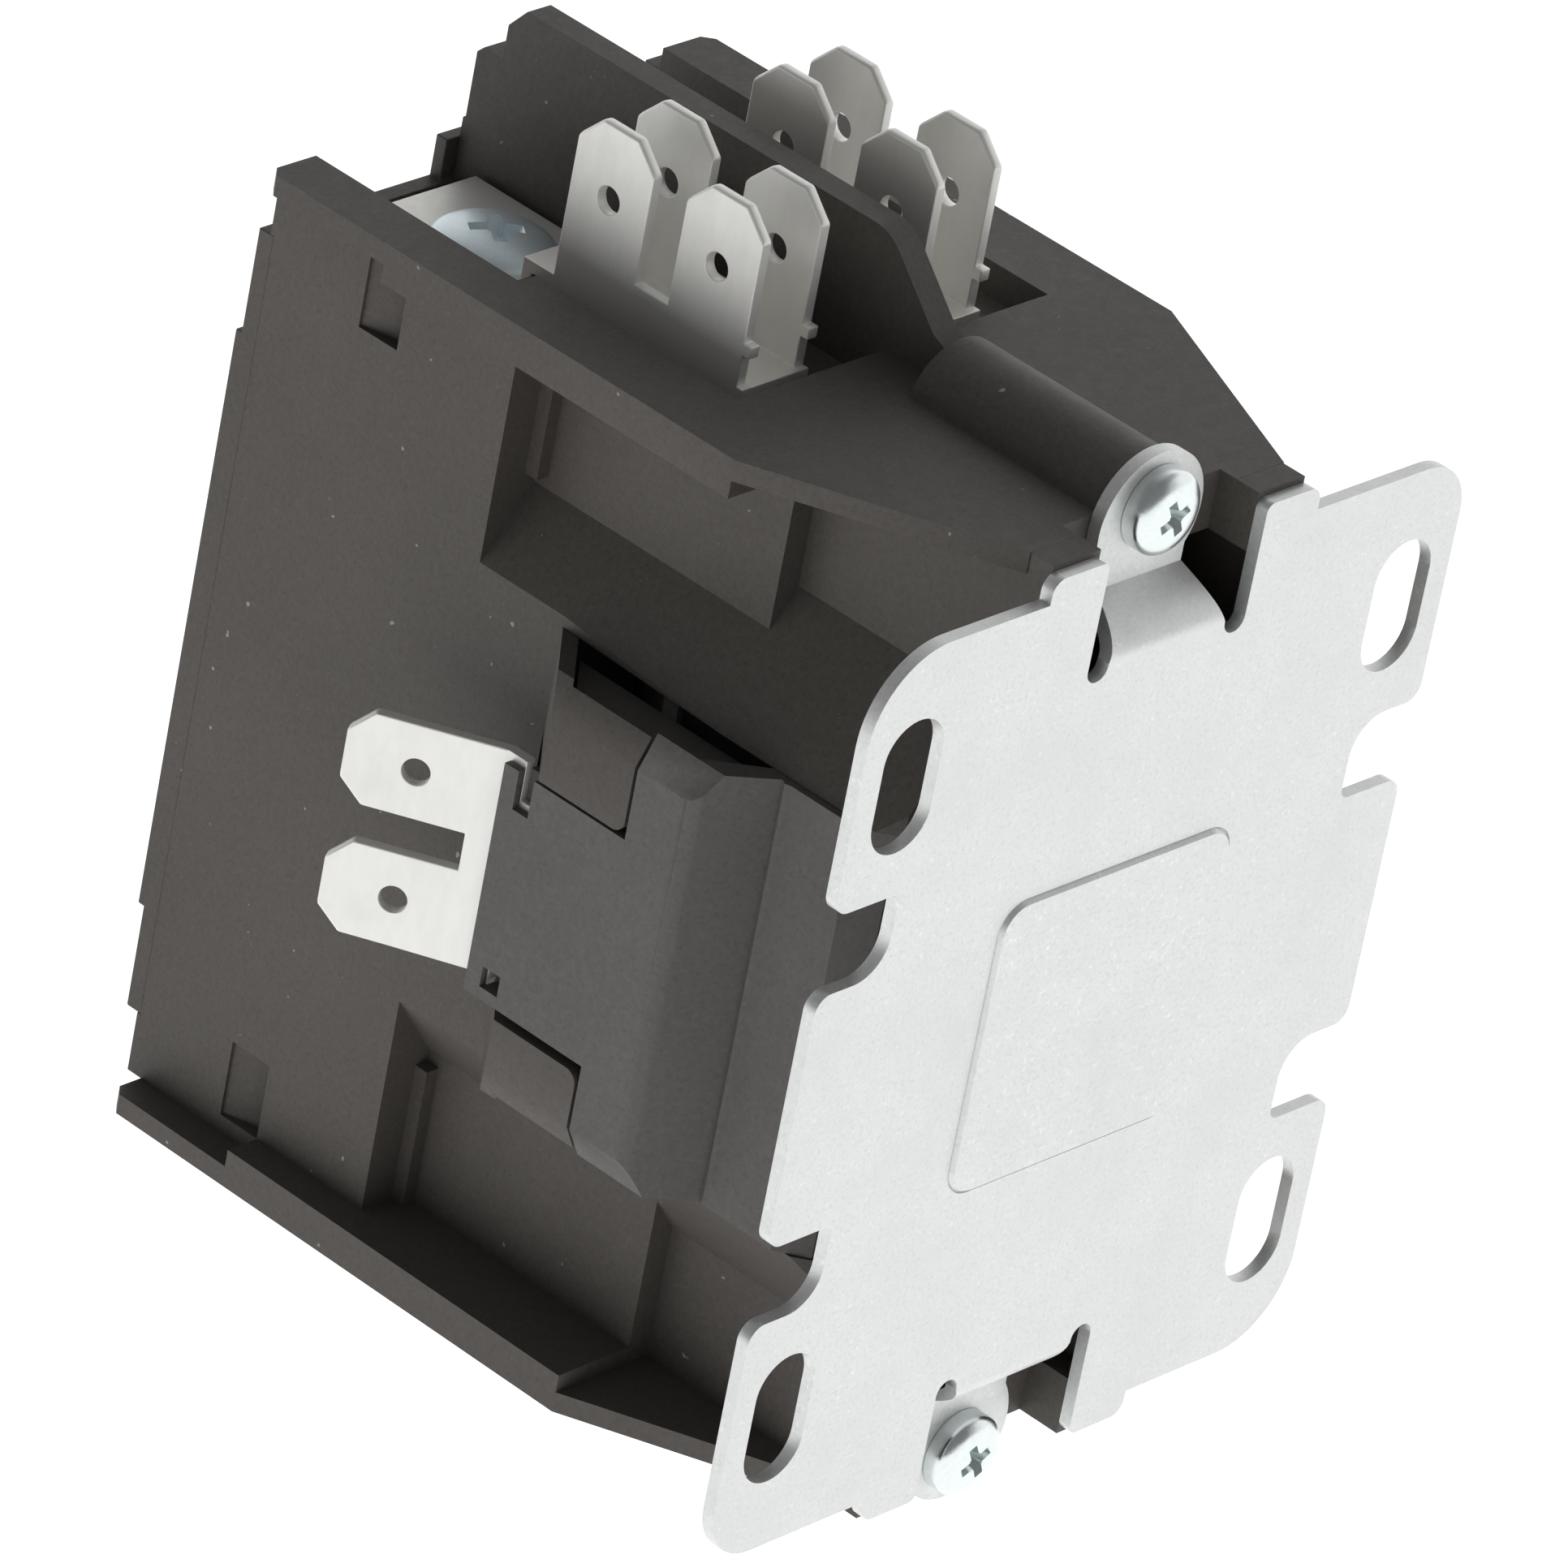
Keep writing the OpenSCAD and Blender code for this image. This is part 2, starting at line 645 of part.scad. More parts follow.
module core_outline() {
    difference() {
        translate([pole_y, -core_z]) square([core_back_y - pole_y, 2 * core_z]);
        for (s = [-1, 1]) mirror([0, s < 0 ? 1 : 0]) {
            translate([pole_y - 1, centre_leg_z])
                square([core_back_y - yoke_t - pole_y + 1, outer_leg_z - centre_leg_z]);
            // Groove for the shading ring
            translate([pole_y - 1, 17.3]) square([3.2, 0.9]);
            translate([core_back_y - yoke_t / 2, 14]) circle(rivet_r + 0.03);
        }
    }
}

module magnet_core() {
    color(steel) sheet_yz(-stack_x, stack_x) core_outline();
}

module core_rivets() {
    color(zinc) both_z() translate([-stack_x - 0.6, core_back_y - yoke_t / 2, 14]) rotate([0, 90, 0])
        cylinder(r = rivet_r, h = 2 * stack_x + 1.2);
}

module shading_rings() {
    color(copper) both_z() difference() {
        box([-8.8, pole_y + 0.1, 17.35], [8.8, pole_y + 2, 20.85]);
        box([-8.05, pole_y - 1, 18.15], [8.05, pole_y + 3, 20.05]);
    }
}

module core_pad() {
    color(rubber) box([-7.5, core_back_y + 0.03, -9], [7.5, -plate_t, 9]);
}

module armature() {
    color(steel) difference() {
        sheet_yz(-stack_x, stack_x) difference() {
            translate([armature_front_y, -core_z])
                square([armature_back_y - armature_front_y, 2 * core_z]);
            for (s = [-1, 1]) translate([-32.4, s * 14]) circle(rivet_r + 0.03);
            for (s = [-1, 1]) translate([armature_back_y - 0.8, s * 10 - 4.5]) square([2, 9]);
        }
        translate([-20, pin_y, 0]) rotate([0, 90, 0]) cylinder(r = pin_r + 0.05, h = 40);
    }
}

module armature_rivets() {
    color(zinc) both_z() translate([-stack_x - 0.5, -32.4, 14]) rotate([0, 90, 0])
        cylinder(r = rivet_r, h = 2 * stack_x + 1);
}

module armature_pin() {
    color(steel) translate([-pin_x, pin_y, 0]) rotate([0, 90, 0]) cylinder(r = pin_r, h = 2 * pin_x);
}

module contact_carrier() {
    post_z = 3.4;
    rear_y = bridge_back_y + 2.4;
    color([0.36, 0.2, 0.13]) difference() {
        union() {
            box([-12.8, carrier_front_y, -post_z], [12.8, carrier_bar_y, post_z]);
            both_x() box([11.6, carrier_bar_y - eps, -post_z], [12.8, rear_y, post_z]);
            box([-3.3, carrier_bar_y - eps, -post_z], [3.3, rear_y, post_z]);
            box([-12.8, bridge_back_y + 0.02, -post_z], [12.8, rear_y, post_z]);
            box([-6, rear_y - eps, -7], [6, -38, 7]);
            box([-14.4, partition_y + 0.1, -4.4], [14.4, -36, 4.4]);
            both_x() box([8.4, -36 - eps, -4.4], [10, -29.6, 4.4]);
            // Nose that shows in the cover's window
            box([-2.6, cover_seat_y - 1.5, -4.6], [2.6, carrier_front_y + eps, 4.6]);
        }
        translate([-20, pin_y, 0]) rotate([0, 90, 0]) cylinder(r = pin_r + 0.05, h = 40);
    }
}

// A helical spring along Y: rings of a round wire swept along the helix as one skin.
module coil_spring(y0, y1, radius, wire, turns) {
    sides = 6;
    steps = 14 * turns;
    end = wire / 2;
    function centre(i) = [radius * cos(360 * turns * i / steps),
                          y0 + end + (y1 - y0 - 2 * end) * i / steps,
                          radius * sin(360 * turns * i / steps)];
    function ring(i) = [for (k = [0:sides - 1])
        let (a = 360 * turns * i / steps, b = 360 * k / sides, r = radius + wire / 2 * cos(b))
        [r * cos(a), centre(i).y + wire / 2 * sin(b), r * sin(a)]];
    points = [for (i = [0:steps]) each ring(i)];
    skin = [for (i = [0:steps - 1]) for (k = [0:sides - 1])
        let (m = (k + 1) % sides)
        [i * sides + k, i * sides + m, (i + 1) * sides + m, (i + 1) * sides + k]];
    polyhedron(points, concat(skin,
        [[for (k = [sides - 1:-1:0]) k], [for (k = [0:sides - 1]) steps * sides + k]]), convexity = 8);
}

module return_springs() {
    color(steel) both_x() translate([spring_x, 0, 0])
        coil_spring(-35.95, bobbin_front_y - 0.05, 1.7, 0.45, 6);
}

module contact_bridge(side) {
    color(copper) translate([side * pole_x, 0, 0])
        box([-3.5, bridge_front_y, -16.5], [3.5, bridge_back_y, 16.5]);
}

module bridge_tips(side) {
    color(silver) both_z() translate([side * pole_x, bridge_back_y, tip_z]) rotate([-90, 0, 0])
        cylinder(r = tip_r, h = moving_tip_t);
}

module contact_spring(side) {
    color(steel) translate([side * pole_x, 0, 0])
        coil_spring(carrier_bar_y + 0.03, bridge_front_y - 0.03, 2.4, 0.5, 3);
}

module contact_bridge_left() contact_bridge(-1);
module contact_bridge_right() contact_bridge(1);
module bridge_tips_left() bridge_tips(-1);
module bridge_tips_right() bridge_tips(1);
module contact_spring_left() contact_spring(-1);
module contact_spring_right() contact_spring(1);

// A contact bar at +X and +Z: a terminal pad with a tapped hole, and a leg down to its contact.
module contact_bar() {
    color(copper) difference() {
        union() {
            box([1.5, terminal_front_y, well_z], [14.4, bar_back_y, foot_z]);
            box([pole_x - bar_half_w, bar_back_y - bar_t, 10], [pole_x + bar_half_w, bar_back_y, foot_z]);
        }
        translate([pole_x, screw_y, 20]) cylinder(r = 2.03, h = 10);
    }
}

module line_bar_right() contact_bar();
module line_bar_left() mirror([1, 0, 0]) contact_bar();
module load_bar_right() mirror([0, 0, 1]) contact_bar();
module load_bar_left() mirror([0, 0, 1]) mirror([1, 0, 0]) contact_bar();

module fixed_tips() {
    color(silver) both_x() both_z() translate([pole_x, fixed_face_y, tip_z]) rotate([-90, 0, 0])
        cylinder(r = tip_r, h = tip_t);
}

// Side wall of a double quick-connect bracket: two blades on a common root.
module bracket_wall() {
    difference() {
        union() {
            translate([tab_a_y - tab_w / 2, foot_z + bracket_lift])
                square([tab_b_y - tab_a_y + tab_w, tab_root_z - foot_z - bracket_lift]);
            for (y = [tab_a_y, tab_b_y]) translate([y, tab_root_z]) rotate(-90)
                blade_outline(tab_w, tab_tip_z - tab_root_z, 4.1, 1.7);
            translate([tab_b_y + tab_w / 2 - eps, tab_root_z - 0.3]) square([0.6, 0.8]);
        }
        // Rounded bottom of the slot between the blades
        translate([(tab_a_y + tab_b_y) / 2, tab_root_z + 0.5]) {
            translate([-1.2, 0]) square([2.4, 2]);
            translate([-0.7, -0.5]) square([1.4, 1]);
        }
    }
}

module quick_connect() {
    x0 = pole_x - bracket_half;
    x1 = pole_x + bracket_half;
    lift = foot_z + bracket_lift;
    back_y = -45.2;
    color(tinned) union() {
        difference() {
            box([1.4, terminal_front_y, foot_z], [14.4, back_y + tab_t, foot_z + tab_t]);
            translate([pole_x, screw_y, foot_z - 1]) cylinder(r = 2.25, h = 3);
        }
        box([x0, back_y, foot_z], [x1, back_y + tab_t, lift + tab_t]);
        box([x0, back_y, lift], [x1, tab_b_y + tab_w / 2 + 0.5, lift + tab_t]);
        for (x = [x0, x1 - tab_t]) sheet_yz(x, x + tab_t) bracket_wall();
    }
}

module quick_connect_right() quick_connect();
module quick_connect_left() mirror([1, 0, 0]) quick_connect();

module terminal_screws() {
    color([0.7, 0.76, 0.84]) both_x() {
        translate([pole_x, screw_y, foot_z + tab_t]) rotate(20)
            pan_screw(screw_head_r, 1.8, 2, 8);
        mirror([0, 0, 1]) translate([pole_x, screw_y, foot_z]) rotate(50)
            pan_screw(screw_head_r, 1.8, 2, 7.2);
    }
}

mounting_plate();
plate_screws();
housing();
front_cover();
coil_bobbin();
coil_winding();
coil_wrap();
coil_leads();
coil_terminal_left();
coil_terminal_right();
magnet_core();
core_rivets();
shading_rings();
core_pad();
armature();
armature_rivets();
armature_pin();
contact_carrier();
return_springs();
contact_bridge_left();
contact_bridge_right();
bridge_tips_left();
bridge_tips_right();
contact_spring_left();
contact_spring_right();
line_bar_left();
line_bar_right();
load_bar_left();
load_bar_right();
fixed_tips();
quick_connect_left();
quick_connect_right();
terminal_screws();
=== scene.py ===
import json
import math

import bmesh
import bpy
from mathutils import Matrix, Vector


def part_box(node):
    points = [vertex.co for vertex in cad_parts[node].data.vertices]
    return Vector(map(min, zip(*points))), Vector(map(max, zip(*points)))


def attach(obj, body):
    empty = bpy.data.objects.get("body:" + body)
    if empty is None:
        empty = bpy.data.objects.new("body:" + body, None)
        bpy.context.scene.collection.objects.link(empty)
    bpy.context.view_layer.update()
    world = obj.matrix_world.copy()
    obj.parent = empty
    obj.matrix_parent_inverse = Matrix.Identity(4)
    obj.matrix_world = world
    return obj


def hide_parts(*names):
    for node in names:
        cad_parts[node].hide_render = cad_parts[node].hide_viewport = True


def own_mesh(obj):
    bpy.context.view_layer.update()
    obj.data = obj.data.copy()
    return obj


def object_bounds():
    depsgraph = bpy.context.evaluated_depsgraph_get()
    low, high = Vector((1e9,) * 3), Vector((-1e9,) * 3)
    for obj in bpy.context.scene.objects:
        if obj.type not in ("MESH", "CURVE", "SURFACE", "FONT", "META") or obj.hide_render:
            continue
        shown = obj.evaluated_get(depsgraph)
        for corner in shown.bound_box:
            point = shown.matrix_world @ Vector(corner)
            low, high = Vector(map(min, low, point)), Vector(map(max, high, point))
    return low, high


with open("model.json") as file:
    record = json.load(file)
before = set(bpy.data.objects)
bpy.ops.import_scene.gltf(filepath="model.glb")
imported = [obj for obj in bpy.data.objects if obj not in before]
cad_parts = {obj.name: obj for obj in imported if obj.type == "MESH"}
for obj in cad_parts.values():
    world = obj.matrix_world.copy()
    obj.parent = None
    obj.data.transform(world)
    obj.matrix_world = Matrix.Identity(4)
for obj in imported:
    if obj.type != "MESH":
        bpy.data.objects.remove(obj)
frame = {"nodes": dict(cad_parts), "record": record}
cad_low, cad_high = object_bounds()
NODES = frame["nodes"]
RECORD = frame["record"]
MM = 0.001

BODY_OF = {node: body for body, nodes in RECORD["behaviour"]["bodies"].items() for node in nodes}
SLOT_OF = {part["node"]: part["material_slot"] for part in RECORD["subparts"]}


# ---------------------------------------------------------------- materials

class Paint:
    """A node material under construction: a Principled shader and short ways to feed it."""

    def __init__(self, name, colour, roughness, metallic=0.0, specular=0.5):
        self.material = bpy.data.materials.new(name)
        self.material.use_nodes = True
        self.tree = self.material.node_tree
        self.shader = self.tree.nodes["Principled BSDF"]
        self.shader.inputs["Base Color"].default_value = (*colour, 1)
        self.shader.inputs["Roughness"].default_value = roughness
        self.shader.inputs["Metallic"].default_value = metallic
        self.shader.inputs["Specular IOR Level"].default_value = specular
        self.place = self.node("ShaderNodeTexCoord").outputs["Object"]

    def node(self, kind, **settings):
        made = self.tree.nodes.new(kind)
        for key, value in settings.items():
            setattr(made, key, value)
        return made

    def link(self, source, target):
        self.tree.links.new(source, target)

    def noise(self, scale, detail=2.0, stretch=None, rough=0.5):
        """A noise value between 0 and 1; scale is in features a metre."""
        made = self.node("ShaderNodeTexNoise")
        made.inputs["Scale"].default_value = scale
        made.inputs["Detail"].default_value = detail
        made.inputs["Roughness"].default_value = rough
        source = self.place
        if stretch:
            mapping = self.node("ShaderNodeMapping")
            mapping.inputs["Scale"].default_value = stretch
            self.link(source, mapping.inputs["Vector"])
            source = mapping.outputs["Vector"]
        self.link(source, made.inputs["Vector"])
        return made.outputs["Fac"]

    def span(self, value, low, high, to_low=0.0, to_high=1.0):
        """value from low..high carried to to_low..to_high, held at both ends."""
        made = self.node("ShaderNodeMapRange", clamp=True)
        self.link(value, made.inputs["Value"])
        numbers = {"From Min": low, "From Max": high, "To Min": to_low, "To Max": to_high}
        for key, number in numbers.items():
            made.inputs[key].default_value = number
        return made.outputs["Result"]

    def tint(self, amount, colour):
        """Mixes colour over what the shader's base colour is so far, by amount (a socket)."""
        mix = self.node("ShaderNodeMix", data_type="RGBA")
        factor = next(s for s in mix.inputs if s.name == "Factor" and s.type == "VALUE")
        side_a, side_b = [next(s for s in mix.inputs if s.name == n and s.type == "RGBA") for n in "AB"]
        result = next(s for s in mix.outputs if s.type == "RGBA")
        base = self.shader.inputs["Base Color"]
        if base.is_linked:
            self.link(base.links[0].from_socket, side_a)
        else:
            side_a.default_value = base.default_value
        side_b.default_value = (*colour, 1)
        self.link(amount, factor)
        self.link(result, base)

    def roughness(self, value, low, high):
        self.link(self.span(value, 0.0, 1.0, low, high), self.shader.inputs["Roughness"])

    def bump(self, height, strength, distance):
        made = self.node("ShaderNodeBump")
        made.inputs["Strength"].default_value = strength
        made.inputs["Distance"].default_value = distance
        self.link(height, made.inputs["Height"])
        normal = self.shader.inputs["Normal"]
        if normal.is_linked:
            self.link(normal.links[0].from_socket, made.inputs["Normal"])
        self.link(made.outputs["Normal"], normal)


def times(colour, factor):
    return tuple(min(1.0, factor * c) for c in colour)


def moulded(name, colour, roughness, grain=0.5, dust=0.6):
    """Moulded plastic: fine matt grain, slow colour drift, a few specks of dust."""
    paint = Paint(name, colour, roughness, specular=0.3)
    drift = paint.noise(75, 3)
    paint.tint(paint.span(drift, 0.35, 0.7, 0.0, 0.5), times(colour, 1.25))
    mottle = paint.noise(2300, 3, rough=0.65)
    paint.tint(paint.span(mottle, 0.45, 0.7, 0.0, 0.3), times(colour, 1.6))
    pores = paint.noise(3100, 2, rough=0.6)
    paint.tint(paint.span(pores, 0.52, 0.7, 0.0, 0.35), times(colour, 0.6))
    specks = paint.noise(1300, 1.0)
    paint.tint(paint.span(specks, 0.79, 0.82, 0.0, dust), (0.5, 0.49, 0.46))
    paint.roughness(paint.noise(900, 4), roughness - 0.08, roughness + 0.1)
    paint.bump(paint.noise(5200, 3), grain * 0.5, 0.00004)
    paint.bump(paint.noise(70, 2), 0.2, 0.0002)
    return paint.material


def zinc(name, colour, roughness, speckle=0.5, metallic=0.7):
    """Zinc plating over steel: a bright frosted surface with a fine speckle."""
    paint = Paint(name, colour, roughness, metallic=metallic)
    grains = paint.noise(3400, 3, rough=0.65)
    paint.tint(paint.span(grains, 0.5, 0.68, 0.0, speckle), times(colour, 0.78))
    sparkle = paint.noise(2500, 2, rough=0.6)
    paint.tint(paint.span(sparkle, 0.6, 0.72, 0.0, speckle), times(colour, 1.25))
    patches = paint.noise(130, 4)
    paint.tint(paint.span(patches, 0.4, 0.7, 0.0, 0.4), times(colour, 0.9))
    paint.roughness(paint.noise(700, 4), roughness - 0.08, roughness + 0.1)
    paint.bump(grains, 0.3, 0.00003)
    paint.bump(paint.noise(600, 3), 0.2, 0.00005)
    return paint.material


def bright_metal(name, colour, roughness, brushed=None, variation=0.3, metallic=1.0):
    """Bare or tinned metal with rolling marks along one axis (the small number in brushed)."""
    paint = Paint(name, colour, roughness, metallic=metallic)
    marks = paint.noise(1400, 4, stretch=brushed or (1, 1, 1), rough=0.65)
    paint.tint(paint.span(marks, 0.35, 0.7, 0.0, variation), times(colour, 0.7))
    stain = paint.noise(220, 4)
    paint.tint(paint.span(stain, 0.5, 0.75, 0.0, 0.3), times(colour, 0.8))
    paint.roughness(marks, roughness - 0.06, roughness + 0.12)
    paint.bump(marks, 0.18, 0.00003)
    return paint.material


def laminated(name):
    """Cut edges of stacked steel sheets, each sheet a little different, with some rust."""
    colour = (0.26, 0.27, 0.29)
    paint = Paint(name, colour, 0.45, metallic=0.9)
    sheets = paint.noise(900, 1, stretch=(1, 0.02, 0.02))
    paint.tint(paint.span(sheets, 0.35, 0.65, 0.0, 0.6), times(colour, 0.6))
    rust = paint.noise(420, 4)
    paint.tint(paint.span(rust, 0.55, 0.75, 0.0, 0.5), (0.14, 0.09, 0.06))
    paint.roughness(rust, 0.38, 0.6)
    paint.bump(sheets, 0.3, 0.00005)
    return paint.material


def enamelled(name, colour):
    """Enamelled copper: glossy, darker where the enamel is thick."""
    paint = Paint(name, colour, 0.25, metallic=0.6)
    paint.tint(paint.span(paint.noise(300, 3), 0.4, 0.7, 0.0, 0.6), times(colour, 0.55))
    paint.bump(paint.noise(1800, 2), 0.2, 0.00003)
    paint.roughness(paint.noise(500), 0.18, 0.38)
    return paint.material


CASE = (0.092, 0.083, 0.075)
BOBBIN = (0.112, 0.107, 0.103)
ZINC = (0.76, 0.775, 0.765)
TIN = (0.95, 0.945, 0.91)
MATERIALS = {
    "zinc_plate": zinc("satin_zinc", ZINC, 0.45),
    "zinc_screw": zinc("bright_zinc", (0.78, 0.83, 0.83), 0.22, speckle=0.2, metallic=0.95),
    "blue_zinc_screw": zinc("blue_zinc", (0.84, 0.95, 1.0), 0.4, speckle=0.35, metallic=0.55),
    "black_plastic": moulded("case_plastic", CASE, 0.52),
    "cover_plastic": moulded("cover_plastic", CASE, 0.52),
    "bobbin_plastic": moulded("bobbin_plastic", BOBBIN, 0.5, grain=0.35),
    "carrier_plastic": moulded("carrier_plastic", (0.15, 0.05, 0.03), 0.5, dust=0.2),
    "enamelled_copper": enamelled("enamelled_wire", (0.5, 0.19, 0.07)),
    "coil_tape": moulded("coil_tape", (0.012, 0.012, 0.013), 0.35, grain=0.3, dust=0.1),
    "lead_insulation": enamelled("lead_enamel", (0.42, 0.12, 0.05)),
    "tin_plate": bright_metal("tin_plate", TIN, 0.42, brushed=(1, 1, 0.3), variation=0.12, metallic=0.45),
    "copper": bright_metal("copper", (0.75, 0.40, 0.26), 0.3, brushed=(1, 1, 0.05)),
    "brass_bar": bright_metal("brass", (0.75, 0.56, 0.28), 0.3, brushed=(0.05, 1, 1)),
    "silver_alloy": bright_metal("silver_alloy", (0.78, 0.78, 0.77), 0.38),
    "lamination_steel": laminated("laminated_steel"),
    "steel": bright_metal("plain_steel", (0.5, 0.51, 0.53), 0.35),
    "spring_steel": bright_metal("spring_steel", (0.42, 0.42, 0.43), 0.3),
    "pad_rubber": moulded("pad_rubber", (0.02, 0.02, 0.02), 0.75, dust=0.1),
}
# Lighter colour for the rounded edges (the bevel faces): a painted highlight along every edge, partly
# rubbed wear.
EDGE_HIGHLIGHT_AND_WEAR_MATERIALS = {
    "zinc_plate": zinc("zinc_edge_highlight_and_wear", times(ZINC, 1.05), 0.3, speckle=0.2),
    "black_plastic": moulded("case_edge_highlight_and_wear", times(CASE, 1.5), 0.42, dust=0),
    "cover_plastic": moulded("cover_edge_highlight_and_wear", times(CASE, 1.5), 0.42, dust=0),
    "bobbin_plastic": moulded("bobbin_edge_highlight_and_wear", times(BOBBIN, 1.4), 0.4, dust=0),
    "tin_plate": bright_metal("tin_edge_highlight_and_wear", times(TIN, 1.1), 0.25, metallic=0.8),
}


# ---------------------------------------------------------------- mesh tools

WELD = 0.002        # mm between vertices that become one
FLAT_ANGLE = 0.6    # degrees between faces that become one


def new_object(name, mesh):
    """A linked object made from a bmesh, which is freed."""
    data = bpy.data.meshes.new(name)
    mesh.to_mesh(data)
    mesh.free()
    piece = bpy.data.objects.new(name, data)
    bpy.context.scene.collection.objects.link(piece)
    return piece


def apply_modifiers(piece):
    """Turns the piece's modifiers into mesh."""
    bpy.context.view_layer.update()
    shape = piece.evaluated_get(bpy.context.evaluated_depsgraph_get())
    mesh = bpy.data.meshes.new_from_object(shape)
    piece.modifiers.clear()
    piece.data = mesh


def finish_piece(piece, node, sharp_angle=38):
    """Gives a new piece the materials of its node's slot and its node's body, smooths it, and hides the
    node.
    """
    slot = SLOT_OF[node]
    piece.data.materials.clear()
    piece.data.materials.append(MATERIALS[slot])
    # slot 1 is for the bevel faces: the lighter edge colour, a painted edge highlight that is partly wear
    piece.data.materials.append(EDGE_HIGHLIGHT_AND_WEAR_MATERIALS.get(slot, MATERIALS[slot]))
    for face in piece.data.polygons:
        face.use_smooth = True
    piece.data.set_sharp_from_angle(angle=math.radians(sharp_angle))
    flat = piece.modifiers.new("flat_faces", "WEIGHTED_NORMAL")
    flat.keep_sharp = True
    flat.weight = 100
    apply_modifiers(piece)
    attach(piece, BODY_OF[node])
    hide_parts(node)
    return piece


def joined_bmesh(node):
    """The node's triangles as a bmesh, with coplanar ones merged into whole faces."""
    mesh = bmesh.new()
    mesh.from_mesh(NODES[node].data)
    bmesh.ops.remove_doubles(mesh, verts=mesh.verts, dist=WELD * MM)
    bmesh.ops.dissolve_limit(mesh, angle_limit=math.radians(FLAT_ANGLE),
                             verts=mesh.verts, edges=mesh.edges)
    return mesh


def ring_skin(mesh, rings, closed=False):
    """Faces between successive rings of vertices; a ring of one vertex is a pole."""
    pairs = list(zip(rings, rings[1:] + rings[:1])) if closed else list(zip(rings, rings[1:]))
    for lower, upper in pairs:
        count = max(len(lower), len(upper))
        for i in range(count):
            j = (i + 1) % count
            corners = [lower[i % len(lower)], lower[j % len(lower)],
                       upper[j % len(upper)], upper[i % len(upper)]]
            mesh.faces.new(list(dict.fromkeys(corners)))


def lathe(profile, segments=64):
    """A closed turned shape round Z from (radius, height) points that start and end on the axis."""
    mesh = bmesh.new()
    rings = []
    for radius, height in profile:
        count = segments if radius > 0 else 1
        rings.append([mesh.verts.new((radius * math.cos(2 * math.pi * i / count),
                                      radius * math.sin(2 * math.pi * i / count), height))
                      for i in range(count)])
    ring_skin(mesh, rings)
    bmesh.ops.recalc_face_normals(mesh, faces=mesh.faces)
    return mesh


def merged(target, source, matrix):
    """Adds source, moved by matrix, to target, and frees it."""
    source.transform(matrix)
    data = bpy.data.meshes.new("part")
    source.to_mesh(data)
    source.free()
    target.from_mesh(data)
    bpy.data.meshes.remove(data)


def cut_out(mesh, cutter):
    """mesh with cutter taken away. Both are freed, and the result is a new bmesh."""
    body = new_object("body", mesh)
    tool = new_object("tool", cutter)
    cut = body.modifiers.new("cut", "BOOLEAN")
    cut.operation = "DIFFERENCE"
    cut.solver = "EXACT"
    cut.object = tool
    apply_modifiers(body)
    result = bmesh.new()
    result.from_mesh(body.data)
    bpy.data.objects.remove(body)
    bpy.data.objects.remove(tool)
    return result


# ---------------------------------------------------------------- stamped and moulded pieces

def rounded(node, width, segments=2, angle=30, weight_of=None):
    """The node with its sharp edges rounded to a real radius. weight_of scales it by place."""
    mesh = joined_bmesh(node)
    layer = mesh.edges.layers.float.new("bevel_weight_edge")
    for edge in mesh.edges:
        if edge.is_manifold and edge.calc_face_angle(0) > math.radians(angle):
            middle = (edge.verts[0].co + edge.verts[1].co) / 2
            edge[layer] = weight_of(middle) if weight_of else 1.0
    piece = new_object(f"{node}_detailed", mesh)
    bevel = piece.modifiers.new("edge_radius", "BEVEL")
    bevel.width = width * MM
    bevel.segments = segments
    bevel.limit_method = "WEIGHT"
    bevel.use_clamp_overlap = True
    # bevel faces take slot 1, the lighter edge colour: painted edge highlight, partly wear
    bevel.material = 1
    apply_modifiers(piece)
    return finish_piece(piece, node)


def coined_tips(axis, sign, start, elsewhere=0.35):
    """A weight that is 1 past start on an axis, towards sign (the blades' tips), and less elsewhere."""
    def weight(place):
        return 1.0 if (place[axis] - start) * sign > 0 else elsewhere
    return weight


def laminated_stack(node, pitch=0.5, groove=0.05):
    """A stack of sheets: the node with a fine V groove round it at every joint between sheets."""
    low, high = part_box(node)
    mesh = joined_bmesh(node)
    count = round((high.x - low.x) / (pitch * MM))
    joints = [low.x + (high.x - low.x) * k / count for k in range(1, count)]
    for joint in joints:
        for shift in (-groove, 0, groove):
            bmesh.ops.bisect_plane(mesh, geom=mesh.verts[:] + mesh.edges[:] + mesh.faces[:],
                                   plane_co=(joint + shift * MM, 0, 0), plane_no=(1, 0, 0), dist=1e-7)
    mesh.normal_update()
    on_joint = 0.2 * groove * MM
    for vert in mesh.verts:
        if min(abs(vert.co.x - joint) for joint in joints) < on_joint:
            vert.co -= vert.normal * groove * MM
    return finish_piece(new_object(f"{node}_detailed", mesh), node, sharp_angle=30)


# ---------------------------------------------------------------- screws

def pan_head(radius, height, side, dome):
    """A cross-recess pan head standing on z = 0: an upright side, then a top that is a full
    ellipse when dome is 1 and flatter when it is less."""
    edge = 0.1 * MM
    steps = 14
    profile = [(0, 0), (radius - edge, 0), (radius, edge), (radius, side)]
    for i in range(1, steps + 1):
        turn = math.radians(90 * i / steps)
        profile.append((radius * math.cos(turn) ** dome if i < steps else 0,
                        side + (height - side) * math.sin(turn)))
    recess = cross_recess(reach=0.45 * radius, half=0.12 * radius, depth=0.7 * height, top=height)
    return cut_out(lathe(profile), recess)


